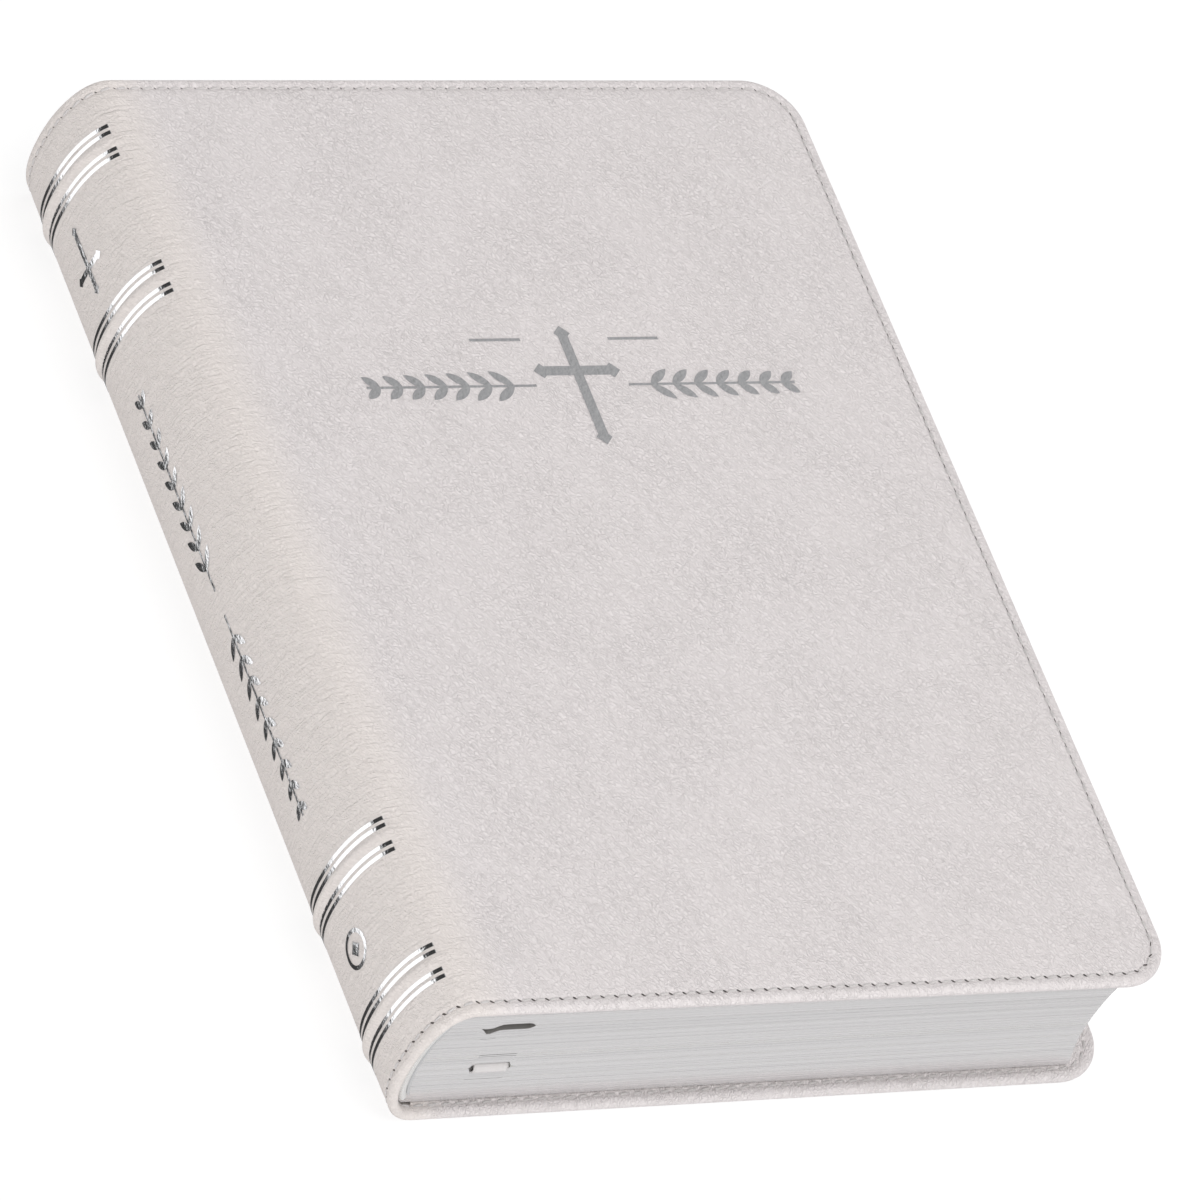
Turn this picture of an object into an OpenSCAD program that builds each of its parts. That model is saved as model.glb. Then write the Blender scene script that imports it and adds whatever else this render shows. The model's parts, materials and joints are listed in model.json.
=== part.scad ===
// Leather-bound study bible, closed and lying on its back cover.
// X runs from the spine (-) to the fore edge (+), Y from the tail (-) to the
// head (+), Z up. The origin is the middle of the face that it rests on.

/* [Book] */
// Overall height, tail to head
book_h = 236; // [200:1:260]
// Overall width, raised bands to fore edge
book_w = 174; // [150:1:190]
// Thickness at the spine
book_t = 37; // [34:0.5:42]
// How much thinner the book is at the fore edge
taper = 2; // [0:0.1:3]

/* [Cover] */
// Thickness of the leather skin
leather_t = 0.9; // [0.7:0.05:1.1]
// Thickness of the flexible board under the leather
board_t = 0.7; // [0.5:0.05:0.9]
// Thickness of the pared leather that is turned in
turn_in_t = 0.6; // [0.4:0.05:0.8]
// Width of the turned-in leather
turn_in_w = 14; // [11:0.5:18]
// Radius of the two fore-edge corners
corner_r = 12; // [8:0.5:16]
// Overhang of the covers past the pages at head and tail
square_tail = 3; // [2.5:0.1:5]
// Overhang of the covers past the pages at the fore edge
square_fore = 9.5; // [8:0.5:12]

/* [Spine] */
// Distance from the flex line of a cover to the outside of the spine leather
spine_bulge = 9.8; // [9:0.1:11]
// Roundness of the spine: 2 is an ellipse, more is squarer
spine_power = 2.2; // [2:0.05:2.6]
// Height of the raised bands above the spine leather
band_rise = 1.2; // [0.8:0.1:1.4]
// Width of a raised band
band_w = 3; // [2.4:0.1:3.2]
// Heights of the four raised bands, measured from the tail
band_heights = [13.9, 44.7, 185.3, 220.7];

/* [Text block] */
// Depth of the hollow in the fore edge
fore_hollow = 2.6; // [1.5:0.1:3.5]
// Width of the ribbon markers
ribbon_w = 7.8; // [6:0.2:9]

/* [Stitching] */
// Distance from the edge of the cover to the stitch line
stitch_inset = 2.6; // [2.2:0.1:3.2]
// Distance from one stitch to the next
stitch_pitch = 3.2; // [2.8:0.1:4]

/* [Hidden] */

$fn = 48;
tiny = 0.01;
// angle between the points of the spine's curve
curve_step = 3;
half_h = book_h / 2;
fore_x = book_w / 2;
// flex lines of the covers: both joint axes run along Y through these
joint_x = -fore_x + band_rise + spine_bulge;
mid_z = book_t / 2;
taper_angle = atan(taper / (fore_x - joint_x));

// half width of the soft strip on each side of a flex line
joint_soft = 1.5;
cover_t = leather_t + board_t + turn_in_t;
pastedown_t = 0.2;
// distance from the cover's edges to the endpaper that is pasted over the turn-in
pastedown_inset = 8;
// clearance between a cover and the leaf that faces it
cover_gap = 0.25;
flyleaf_t = 0.2;
rim_w = 1.2;

block_half_h = half_h - square_tail;
block_fore_x = fore_x - square_fore;
block_z = cover_t + pastedown_t + cover_gap + flyleaf_t;
// the block stands this far inside the outer face of the spine leather
mull_t = 0.25;
block_inset = leather_t + board_t + 0.35 + mull_t;

// section groups in each half of the block, one node each
groups = 4;
// leaves that lift by themselves on each side of the middle opening
leaf_count = 3;
leaf_t = 0.35;
leaf_gap = 0.15;
leaf_step = leaf_t + leaf_gap;
half_split = leaf_count * leaf_step + 0.2;
leaf_start_x = joint_x + 1.2;
half_radius = mid_z - half_split;
backs_radius = half_radius + 0.3;

// slack that keeps neighbouring sheets from touching
sheet_gap = 0.02;
group_ribbon_gap = 0.45;
ribbon_slack = 0.05;
ribbon_t = 0.22;
// how far a ribbon hangs out of the block at the tail
ribbon_end = 0.8;
ribbon_lower_x = joint_x + 9;
ribbon_upper_x = joint_x + 8;
foil_t = 0.1;
foil_line_w = 0.9;
foil_line_offsets = [-3.75, -2.1, 2.1, 3.75];
foil_drop = 1.3;
stitch_l = 2.1;
stitch_w = 0.6;
stitch_d = 0.3;
groove_w = 0.9;
groove_d = 0.32;

// ornament on the front cover: its centre, width, cross and rules
ornament_x = 5.5;
ornament_y = 36.5;
ornament_w = 102;
cross_h = 27;
cross_stroke = 2.4;
vine_gap = 11;
rule_size = [12, 0.7];
rule_centre = [16.5, 12];

// ornaments on the spine: their centres from the tail, and their sizes
spine_cross_y = 203;
spine_cross_h = 15;
spine_cross_stroke = 1.4;
spine_vine_y = 115;
spine_stem = 50;
spine_stem_gap = 3;
spine_ring_y = 29.3;
ring_r = 4.2;
ring_w = 0.9;
lozenge_w = 2.6;

// end bands: middle, half length and half length of the core
end_band_y = 1;
end_band_half = 0.95;
end_core_half = 0.6;
end_band_t = 2;
end_core_t = 0.8;

leather_colour = [0.85, 0.83, 0.82];
paper_colour = [0.86, 0.86, 0.85];
foil_colour = [0.75, 0.76, 0.78];
thread_colour = [0.88, 0.86, 0.85];

// ---- outlines in the XZ plane, written as 2D shapes with y standing for z

// extrudes an XZ outline from y0 to y1
module along_y(y0, y1) {
    translate([0, y1, 0])
        rotate([90, 0, 0])
            linear_extrude(height = y1 - y0)
                children();
}

// a point of the spine curve, inset from the outer face, at an angle of -90 to 90
function spine_point(inset, angle, rise = 0) = [
    joint_x - (spine_bulge + rise - inset) * pow(cos(angle), 2 / spine_power),
    mid_z + (mid_z - inset) * sign(sin(angle))
        * pow(abs(sin(angle)), 2 / spine_power)
];

function spine_curve(inset, rise = 0) = [
    for (angle = [-90 : curve_step : 90]) spine_point(inset, angle, rise)
];

function reversed(points) = [
    for (i = [len(points) - 1 : -1 : 0]) points[i]
];

// where the spine curve is at a given height
function spine_x(inset, z) = joint_x - (spine_bulge - inset)
    * pow(1 - pow(abs(z - mid_z) / (mid_z - inset), spine_power),
          1 / spine_power);

// solid D shape inside the spine curve, closed along the flex lines
module spine_solid(inset, rise = 0) {
    polygon(spine_curve(inset, rise));
}

// curved strip between two insets from the spine's outer face
module spine_strip(outer, inner, rise = 0) {
    polygon(concat(spine_curve(outer, rise), reversed(spine_curve(inner))));
}

// everything left of the soft strips and at least this far from both faces
module spine_window(drop = 0) {
    translate([-fore_x - 1, drop])
        square([joint_x - joint_soft + fore_x + 1, book_t - 2 * drop]);
}

// spine curve closed by straight sides that reach right to a given x
module curve_and_body(inset, right_x, z0, z1) {
    inside = [
        for (p = spine_curve(inset)) if (p[1] > z0 && p[1] < z1) p
    ];
    polygon(concat(
        [[right_x, z0], [spine_x(inset, z0), z0]],
        inside,
        [[spine_x(inset, z1), z1], [right_x, z1]]
    ));
}

// outline of the whole text block, round at the back, hollow at the fore edge
module block_outline() {
    sag_half = mid_z - block_z;
    hollow_r = (sag_half * sag_half + fore_hollow * fore_hollow)
        / (2 * fore_hollow);
    difference() {
        curve_and_body(block_inset, block_fore_x, block_z, book_t - block_z);
        translate([block_fore_x - fore_hollow + hollow_r, mid_z])
            circle(r = hollow_r, $fn = 96);
    }
}

// height of the front cover's outer face over a given x
function top_z(x) = book_t - tan(taper_angle) * max(0, x - joint_x);

// slab of the lower half between two fractions of its thickness
module lower_slab(f0, f1, lift = 0) {
    span = mid_z - half_split - block_z;
    translate([-fore_x, block_z + span * f0])
        square([book_w, span * (f1 - f0) - lift]);
}

// slab of the upper half, thinner towards the fore edge
module upper_slab(f0, f1, lift = 0) {
    base = mid_z + half_split;
    span_l = top_z(joint_x) - block_z - base;
    span_r = top_z(fore_x) - block_z - base;
    polygon([
        [-fore_x, base + span_l * f0 + lift],
        [joint_x, base + span_l * f0 + lift],
        [fore_x, base + span_r * f0 + lift],
        [fore_x, base + span_r * f1],
        [joint_x, base + span_l * f1],
        [-fore_x, base + span_l * f1]
    ]);
}

// the corner behind the flex line that a half has to leave free to turn
module turning_corner(axis_z) {
    difference() {
        translate([-fore_x, 0])
            square([fore_x + joint_x, book_t]);
        translate([joint_x, axis_z])
            circle(r = half_radius, $fn = 96);
    }
}

// ---- parts of a cover, drawn flat with the outer face at z = 0, body upwards

// outline of a cover from a given x to the fore edge, with round corners
module cover_outline(start_x, inset) {
    r = max(corner_r - inset, 1);
    x1 = fore_x - inset;
    y1 = half_h - inset;
    union() {
        translate([start_x, -y1])
            square([x1 - r - start_x, 2 * y1]);
        translate([start_x, -y1 + r])
            square([x1 - start_x, 2 * (y1 - r)]);
        for (side = [-1, 1])
            translate([x1 - r, side * (y1 - r)])
                circle(r = r);
    }
}

module cover_sheet(start_x, inset, z0, z1) {
    translate([0, 0, z0])
        linear_extrude(height = z1 - z0)
            cover_outline(start_x, inset);
}

cover_start = joint_x + joint_soft;

module cover_leather() {
    difference() {
        cover_sheet(cover_start, 0, 0, cover_t);
        // pocket for the board
        cover_sheet(cover_start - 1, rim_w, leather_t, leather_t + board_t);
        // window inside the turned-in leather
        cover_sheet(cover_start - 1, turn_in_w, leather_t, cover_t + 1);
        // shallow groove that the outer stitches lie in
        translate([0, 0, -1])
            linear_extrude(height = 1 + groove_d)
                difference() {
                    cover_outline(cover_start - 1, stitch_inset - groove_w / 2);
                    cover_outline(cover_start - 2, stitch_inset + groove_w / 2);
                }
    }
}

module cover_board() {
    cover_sheet(cover_start, rim_w, leather_t, leather_t + board_t);
}

module cover_pastedown() {
    start = cover_start + 1;
    cover_sheet(start, turn_in_w, leather_t + board_t, cover_t);
    cover_sheet(start, pastedown_inset, cover_t, cover_t + pastedown_t);
}

// one stitch: a short bar of thread in the groove
module stitch() {
    translate([-stitch_l / 2, -stitch_w / 2, 0])
        cube([stitch_l, stitch_w, stitch_d]);
}

module cover_stitches() {
    line_y = half_h - stitch_inset;
    line_x = fore_x - stitch_inset;
    bend_r = corner_r - stitch_inset;
    run_x = line_x - bend_r - cover_start - stitch_l;
    run_y = 2 * (line_y - bend_r);
    count_x = floor(run_x / stitch_pitch);
    count_y = floor(run_y / stitch_pitch);
    bend_count = round(bend_r * PI / 2 / stitch_pitch);
    for (side = [-1, 1]) {
        for (i = [0 : count_x])
            translate([line_x - bend_r - i * run_x / count_x, side * line_y, 0])
                stitch();
        for (i = [1 : bend_count - 1])
            translate([line_x - bend_r, side * (line_y - bend_r), 0])
                rotate([0, 0, side * 90 * i / bend_count])
                    translate([bend_r, 0, 0])
                        rotate([0, 0, 90])
                            stitch();
    }
    for (i = [0 : count_y])
        translate([line_x, -line_y + bend_r + i * run_y / count_y, 0])
            rotate([0, 0, 90])
                stitch();
}

// turns flat cover parts over onto the block, sloping down to the fore edge
module at_front() {
    translate([joint_x, 0, book_t])
        rotate([0, taper_angle, 0])
            translate([-joint_x, 0, 0])
                mirror([0, 0, 1])
                    children();
}

// ---- back cover

module back_cover_leather() {
    color(leather_colour) cover_leather();
}

module back_board() {
    color("tan") cover_board();
}

module back_pastedown() {
    color(paper_colour) cover_pastedown();
}

module back_stitching() {
    color(thread_colour) cover_stitches();
}

// ---- lower half of the text block

module lower_part(f0, f1, lift = 0) {
    along_y(-block_half_h, block_half_h)
        difference() {
            intersection() {
                block_outline();
                lower_slab(f0, f1, lift);
            }
            turning_corner(0);
        }
}

module back_flyleaf() {
    color(paper_colour)
        along_y(-block_half_h, block_half_h)
            translate([joint_x, block_z - flyleaf_t - sheet_gap])
                square([block_fore_x - joint_x, flyleaf_t]);
}

// the ribbon lies under the fourth group, on a third one that is a little thinner
module lower_group(i) {
    lift = i == 3 ? group_ribbon_gap : 0;
    color(paper_colour)
        lower_part((i - 1) / groups, i / groups, lift);
}

module lower_sections_1() {
    lower_group(1);
}

module lower_sections_2() {
    lower_group(2);
}

module lower_sections_3() {
    lower_group(3);
}

module lower_sections_4() {
    lower_group(4);
}

// flat ribbon that comes out of the block at the tail, in its own slot
module ribbon(x0, z0) {
    color("white")
        translate([x0, -block_half_h - ribbon_end, z0])
            cube([ribbon_w, 2 * block_half_h, ribbon_t]);
}

module ribbon_lower() {
    span = mid_z - half_split - block_z;
    ribbon(ribbon_lower_x, block_z + span * 3 / groups - group_ribbon_gap / 2);
}

// cloth glued over the rounded back of one half
module mull(z0, z1, axis_z) {
    color("ivory")
        along_y(-block_half_h + 8, block_half_h - 8)
            intersection() {
                difference() {
                    spine_solid(block_inset - mull_t);
                    spine_solid(block_inset - sheet_gap);
                }
                translate([-fore_x, z0])
                    square([fore_x + joint_x - 0.5, z1 - z0]);
                translate([joint_x, axis_z])
                    circle(r = half_radius, $fn = 96);
            }
}

module back_mull() {
    mull(block_z, mid_z - half_split, 0);
}

// one leaf at the middle opening, counted from its own half
module leaf(z0) {
    color(paper_colour)
        along_y(-block_half_h, block_half_h)
            intersection() {
                block_outline();
                translate([leaf_start_x, z0])
                    square([book_w, leaf_t]);
            }
}

function back_leaf_z(i) = mid_z - half_split + leaf_gap + (i - 1) * leaf_step;
function front_leaf_z(i) = book_t - back_leaf_z(i) - leaf_t;

module back_leaf_1() {
    leaf(back_leaf_z(1));
}

module back_leaf_2() {
    leaf(back_leaf_z(2));
}

module back_leaf_3() {
    leaf(back_leaf_z(3));
}

// ---- spine

module spine_leather() {
    color(leather_colour) {
        along_y(-half_h, half_h)
            intersection() {
                spine_strip(0, leather_t);
                spine_window();
            }
        // leather turned in over the stiffener at head and tail
        for (side = [-1, 1])
            along_y(side * (half_h - 1) - 1, side * (half_h - 1) + 1)
                intersection() {
                    spine_strip(leather_t - tiny, leather_t + board_t);
                    spine_window();
                }
    }
}

module spine_stiffener() {
    color("tan")
        along_y(-half_h + 2, half_h - 2)
            intersection() {
                spine_strip(leather_t, leather_t + board_t);
                spine_window();
            }
}

module raised_bands() {
    color(leather_colour)
        for (y = band_heights)
            along_y(y - half_h - band_w / 2, y - half_h + band_w / 2)
                intersection() {
                    spine_strip(0, 0, band_rise);
                    spine_window(0.2);
                }
}

module spine_foil_lines() {
    color(foil_colour)
        for (y = band_heights, offset = foil_line_offsets)
            along_y(y + offset - half_h - foil_line_w / 2,
                    y + offset - half_h + foil_line_w / 2)
                intersection() {
                    spine_strip(-foil_t, 0);
                    spine_window(foil_drop);
                }
}

// presses a flat ornament, drawn in Y and Z, onto the outside of the spine
module on_spine(y) {
    intersection() {
        along_y(-half_h, half_h)
            intersection() {
                spine_strip(-foil_t, 0);
                spine_window(foil_drop);
            }
        translate([joint_x, y, mid_z])
            rotate([90, 0, -90])
                linear_extrude(height = book_w)
                    children();
    }
}

// plain cross with a longer foot, upright along +y, its centre at the origin
module cross_shape(height, stroke) {
    width = height * 0.62;
    arm_y = height * 0.14;
    square([stroke, height], center = true);
    translate([0, arm_y])
        square([width, stroke], center = true);
    for (p = [[0, height / 2], [0, -height / 2], [-width / 2, arm_y],
              [width / 2, arm_y]])
        translate(p)
            rotate(45)
                square(stroke * 1.15, center = true);
}

// pointed leaf from the origin along +x
module leaf_shape(length, width) {
    r = (length * length / 4 + width * width / 4) / width;
    intersection() {
        translate([length / 2, r - width / 2])
            circle(r = r, $fn = 64);
        translate([length / 2, width / 2 - r])
            circle(r = r, $fn = 64);
    }
}

// straight stem along +x with leaves in pairs, getting smaller to the tip
module vine_shape(length, pairs, leaf_l) {
    stem_w = 0.6;
    translate([0, -stem_w / 2])
        square([length, stem_w]);
    for (i = [1 : pairs], side = [-1, 1])
        translate([length * i / (pairs + 0.6), 0])
            rotate(side * 38)
                leaf_shape(leaf_l * (1.1 - 0.35 * i / pairs), leaf_l * 0.34);
}

module spine_cross() {
    color(foil_colour)
        on_spine(spine_cross_y - half_h)
            rotate(-90)
                cross_shape(spine_cross_h, spine_cross_stroke);
}

module spine_vine() {
    color(foil_colour)
        for (side = [-1, 1])
            on_spine(spine_vine_y - half_h + side * spine_stem_gap)
                rotate(side > 0 ? 180 : 0)
                    vine_shape(spine_stem, pairs = 9, leaf_l = 5);
}

module spine_ring() {
    color(foil_colour)
        on_spine(spine_ring_y - half_h)
            union() {
                difference() {
                    circle(r = ring_r);
                    circle(r = ring_r - ring_w);
                }
                rotate(45)
                    square(lozenge_w, center = true);
            }
}

// stitches around the two ends of the spine, following its curve
module spine_stitching() {
    steps = 12;
    color(thread_colour)
        for (side = [-1, 1], i = [-steps + 2 : 2 : steps - 2])
            along_y(side * (half_h - stitch_inset) - stitch_w / 2,
                    side * (half_h - stitch_inset) + stitch_w / 2)
                intersection() {
                    spine_strip(-foil_t, 0);
                    spine_window(0.5);
                    translate([joint_x, mid_z])
                        rotate(180 + i * 90 / steps * 0.92)
                            translate([0, -stitch_l * 0.5])
                                square([book_w, stitch_l]);
                }
}

// soft leather across the flex line, half on the spine and half on the cover
module joint_strip() {
    along_y(-half_h, half_h)
        intersection() {
            spine_strip(0, leather_t);
            translate([joint_x - joint_soft, 0])
                square([joint_soft + 1, mid_z]);
        }
    translate([joint_x, -half_h, 0])
        cube([joint_soft, book_h, leather_t]);
}

module back_joint_leather() {
    color(leather_colour) joint_strip();
}

module front_joint_leather() {
    color(leather_colour) {
        translate([0, 0, book_t])
            mirror([0, 0, 1])
                along_y(-half_h, half_h)
                    intersection() {
                        spine_strip(0, leather_t);
                        translate([joint_x - joint_soft, 0])
                            square([joint_soft, mid_z]);
                    }
        at_front()
            translate([joint_x, -half_h, 0])
                cube([joint_soft, book_h, leather_t]);
    }
}

// worked band over the end of the block's back, one solid curved along it
module end_band(side) {
    y = side * (block_half_h + end_band_y);
    start = block_inset + 0.1;
    along_y(y - end_band_half, y + end_band_half)
        intersection() {
            spine_strip(start, start + end_band_t);
            spine_window(drop = 5);
        }
}

// cord inside the band, standing a little proud on its inner side
module end_band_core(side) {
    y = side * (block_half_h + end_band_y);
    start = block_inset + 0.1 + end_band_t;
    along_y(y - end_core_half, y + end_core_half)
        intersection() {
            spine_strip(start, start + end_core_t);
            spine_window(drop = 6);
        }
}

module head_band() {
    color("white") end_band(1);
}

module tail_band() {
    color("white") end_band(-1);
}

module head_band_core() {
    color("silver") end_band_core(1);
}

module tail_band_core() {
    color("silver") end_band_core(-1);
}

// folded backs of the middle sections, glued to the spine between the halves
module sewn_backs() {
    color(paper_colour)
        along_y(-block_half_h, block_half_h)
            difference() {
                curve_and_body(block_inset - mull_t, joint_x + 0.5,
                               mid_z / 2, mid_z * 1.5);
                for (axis_z = [0, book_t])
                    translate([joint_x, axis_z])
                        circle(r = backs_radius, $fn = 96);
            }
}

// long stitches of thread in the fold
module sewing_threads() {
    stations = 6;
    pitch = 2 * block_half_h / stations;
    color("white")
        for (i = [0 : stations - 1])
            translate([joint_x + 0.5, -block_half_h + (i + 0.2) * pitch,
                       mid_z - 0.2])
                cube([0.4, pitch * 0.6, 0.4]);
}

// ---- upper half of the text block

module upper_part(f0, f1, lift = 0) {
    along_y(-block_half_h, block_half_h)
        difference() {
            intersection() {
                block_outline();
                upper_slab(f0, f1, lift);
            }
            turning_corner(book_t);
        }
}

module front_flyleaf() {
    color(paper_colour)
        at_front()
            translate([joint_x, -block_half_h, block_z - flyleaf_t - sheet_gap])
                cube([block_fore_x - joint_x, 2 * block_half_h, flyleaf_t]);
}

module upper_group(i) {
    lift = i == 3 ? group_ribbon_gap : 0;
    color(paper_colour)
        upper_part((i - 1) / groups, i / groups, lift);
}

module upper_sections_1() {
    upper_group(1);
}

module upper_sections_2() {
    upper_group(2);
}

module upper_sections_3() {
    upper_group(3);
}

module upper_sections_4() {
    upper_group(4);
}

module ribbon_upper() {
    base = mid_z + half_split;
    span = book_t - block_z - base;
    ribbon(ribbon_upper_x, base + span * 2 / groups + ribbon_slack);
}

module front_mull() {
    mull(mid_z + half_split, book_t - block_z, book_t);
}

module front_leaf_1() {
    leaf(front_leaf_z(1));
}

module front_leaf_2() {
    leaf(front_leaf_z(2));
}

module front_leaf_3() {
    leaf(front_leaf_z(3));
}

// ---- front cover

module front_cover_leather() {
    color(leather_colour) at_front() cover_leather();
}

module front_board() {
    color("tan") at_front() cover_board();
}

module front_pastedown() {
    color(paper_colour) at_front() cover_pastedown();
}

module front_stitching() {
    color(thread_colour) at_front() cover_stitches();
}

// lays a flat ornament on the outer face of the front cover
module on_front() {
    color(foil_colour)
        at_front()
            translate([ornament_x, ornament_y, -foil_t])
                linear_extrude(height = foil_t)
                    children();
}

module front_cross() {
    on_front() cross_shape(cross_h, cross_stroke);
}

module front_vine() {
    on_front()
        for (side = [0, 1])
            mirror([side, 0])
                translate([vine_gap, 0])
                    vine_shape(ornament_w / 2 - vine_gap, pairs = 7, leaf_l = 6);
}

module front_rules() {
    on_front()
        for (side = [-1, 1])
            translate([side * rule_centre[0], rule_centre[1]])
                square(rule_size, center = true);
}

back_cover_leather();
back_board();
back_pastedown();
back_stitching();
back_flyleaf();
lower_sections_1();
lower_sections_2();
lower_sections_3();
lower_sections_4();
ribbon_lower();
back_mull();
back_leaf_1();
back_leaf_2();
back_leaf_3();
spine_leather();
spine_stiffener();
raised_bands();
spine_foil_lines();
spine_cross();
spine_vine();
spine_ring();
spine_stitching();
front_joint_leather();
back_joint_leather();
head_band();
tail_band();
head_band_core();
tail_band_core();
sewn_backs();
sewing_threads();
front_flyleaf();
upper_sections_1();
upper_sections_2();
upper_sections_3();
upper_sections_4();
ribbon_upper();
front_mull();
front_leaf_1();
front_leaf_2();
front_leaf_3();
front_cover_leather();
front_board();
front_pastedown();
front_stitching();
front_cross();
front_vine();
front_rules();
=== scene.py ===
"""A white leather study bible lying on its back cover, on a plain pale floor.

Lengths are in millimetres until make_piece() turns them into the frame's metres. X runs from
the spine (-) to the fore edge (+), Y from the tail (-) to the head (+), and Z is up.
"""

import json
import math

import bmesh
import bpy
import numpy as np
from mathutils import Matrix, Vector


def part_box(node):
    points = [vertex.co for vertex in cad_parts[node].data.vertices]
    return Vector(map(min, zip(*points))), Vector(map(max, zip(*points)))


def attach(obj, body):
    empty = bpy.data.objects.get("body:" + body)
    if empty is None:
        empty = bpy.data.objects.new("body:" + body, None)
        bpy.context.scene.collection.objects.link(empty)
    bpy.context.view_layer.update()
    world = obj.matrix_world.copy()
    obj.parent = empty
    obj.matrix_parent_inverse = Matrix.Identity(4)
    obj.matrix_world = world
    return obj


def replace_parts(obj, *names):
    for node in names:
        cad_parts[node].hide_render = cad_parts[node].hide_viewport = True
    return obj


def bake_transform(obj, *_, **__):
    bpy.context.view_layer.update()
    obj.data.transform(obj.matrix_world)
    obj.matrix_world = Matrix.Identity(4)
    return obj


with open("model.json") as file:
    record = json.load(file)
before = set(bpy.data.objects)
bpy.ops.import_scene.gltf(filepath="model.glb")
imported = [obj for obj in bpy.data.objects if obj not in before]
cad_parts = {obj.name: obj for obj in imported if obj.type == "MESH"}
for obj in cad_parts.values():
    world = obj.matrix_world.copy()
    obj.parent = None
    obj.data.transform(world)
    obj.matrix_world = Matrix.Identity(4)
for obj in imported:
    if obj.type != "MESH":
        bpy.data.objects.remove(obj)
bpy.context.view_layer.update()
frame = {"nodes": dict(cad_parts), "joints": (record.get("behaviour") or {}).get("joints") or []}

MM = 0.001


def box_mm(node):
    """Lowest and highest corner of a CAD node, in millimetres."""
    low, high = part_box(node)
    return low / MM, high / MM


def joint_mm(name):
    """Where a joint's axis is, in millimetres."""
    joint = next(j for j in frame["joints"] if j["name"] == name)
    return [value / MM for value in joint["pos_m"]]


# ---- sizes, from the frame

cover_high = box_mm("back_cover_leather")[1]
pages_low, pages_high = box_mm("lower_sections_1")
HALF_H = cover_high.y
FORE_X = cover_high.x
COVER_T = cover_high.z
JOINT_X = joint_mm("back_cover_hinge")[0]
BOOK_T = joint_mm("front_cover_hinge")[2]
MID_Z = BOOK_T / 2
SPINE_BULGE = JOINT_X - box_mm("spine_leather")[0].x
PAGE_HALF_H = pages_high.y
PAGE_FORE_X = pages_high.x
PAGE_Z = pages_low.z
CORNER_R = 12.0
# the front cover is this much lower at the fore edge than at its joint
FORE_DROP = 2.0
TAPER = math.atan(FORE_DROP / (FORE_X - JOINT_X))

LEATHER_T = 0.9
BOARD_T = 0.7
TURN_IN_W = 14.0
RIM_W = 1.2
STITCH_INSET = 2.6
STITCH_PITCH = 3.15
# the thread lies in a groove of this depth
GROOVE_DEPTH = 0.30
# the leather bends between a joint and this far along the cover
HINGE_W = 4.0
# boards and pastedowns start here
BOARD_X = JOINT_X + HINGE_W + 0.5
# the spine's curve is a superellipse with this power
CURVE = 2 / 2.2
BAND_RISE = 1.2
BAND_HALF = 1.9
BAND_Y = [-104.1, -73.3, 67.3, 102.7]
# depth of the back of the pages behind the outside of the spine
BACK_INSET = 2.2
FORE_HOLLOW = 2.6
# blank margins outside the ruled frame of a page
END_MARGIN = 12.0
FORE_MARGIN = 9.0


# ---- small helpers


def smooth_step(value):
    """0 below 0, 1 above 1 and a smooth rise between."""
    t = np.clip(value, 0.0, 1.0)
    return t * t * (3 - 2 * t)


def make_piece(name, points, faces, materials, surface=None, face_material=None, smooth=True):
    """A mesh object from points in millimetres; surface holds the pattern coordinates."""
    mesh = bpy.data.meshes.new(name)
    mesh.from_pydata([tuple(float(v) * MM for v in p) for p in points], [], faces)
    for material in materials:
        mesh.materials.append(material)
    if face_material is not None:
        mesh.polygons.foreach_set("material_index", np.array(face_material, np.int32))
    mesh.polygons.foreach_set("use_smooth", np.full(len(mesh.polygons), smooth))
    rest = np.array(points if surface is None else surface, np.float32)
    attribute = mesh.attributes.new("surface", "FLOAT_VECTOR", "POINT")
    attribute.data.foreach_set("vector", rest.ravel())
    work = bmesh.new()
    work.from_mesh(mesh)
    bmesh.ops.recalc_face_normals(work, faces=work.faces)
    work.to_mesh(mesh)
    work.free()
    mesh.update()
    piece = bpy.data.objects.new(name, mesh)
    bpy.context.scene.collection.objects.link(piece)
    return piece


def grid_faces(rows, columns, closed=False):
    """Quads of a grid stored row by row; closed joins the last column to the first."""
    faces = []
    for i in range(rows - 1):
        for j in range(columns if closed else columns - 1):
            k = (j + 1) % columns
            faces.append((i * columns + j, i * columns + k, (i + 1) * columns + k, (i + 1) * columns + j))
    return faces


def tube_faces(rings, sides, first=0):
    """Faces of a tube of rings with both ends shut, whose points start at first."""
    last = first + (rings - 1) * sides
    faces = [tuple(first + v for v in face) for face in grid_faces(rings, sides, closed=True)]
    return faces + [tuple(range(first, first + sides)), tuple(range(last, last + sides))]


def steps(start, end, size):
    """Evenly spaced values from start to end, about size apart."""
    return np.linspace(start, end, max(2, int(round(abs(end - start) / size)) + 1))


def distances(path):
    """How far along a path each of its points is."""
    gaps = np.linalg.norm(np.diff(np.array(path), axis=0), axis=1)
    return np.concatenate([[0.0], np.cumsum(gaps)])


def heading(path, i):
    """Unit direction of a path of arrays at its point i."""
    run = path[min(i + 1, len(path) - 1)] - path[max(i - 1, 0)]
    return run / np.linalg.norm(run)


# ---- the spine's curve


def spine_point(angle, inset=0.0, rise=0.0):
    """x and z on the spine's curve, from -90 degrees at the back joint to 90 at the front one."""
    turn = math.radians(angle)
    x = JOINT_X - (SPINE_BULGE + rise - inset) * max(math.cos(turn), 0.0) ** CURVE
    z = MID_Z + (MID_Z - inset) * math.copysign(abs(math.sin(turn)) ** CURVE, turn)
    return x, z


fine_angles = np.linspace(-90, 90, 1801)
curve_points = np.array([spine_point(a) for a in fine_angles])
curve_lengths = distances(curve_points)
SPINE_LENGTH = curve_lengths[-1]


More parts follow.
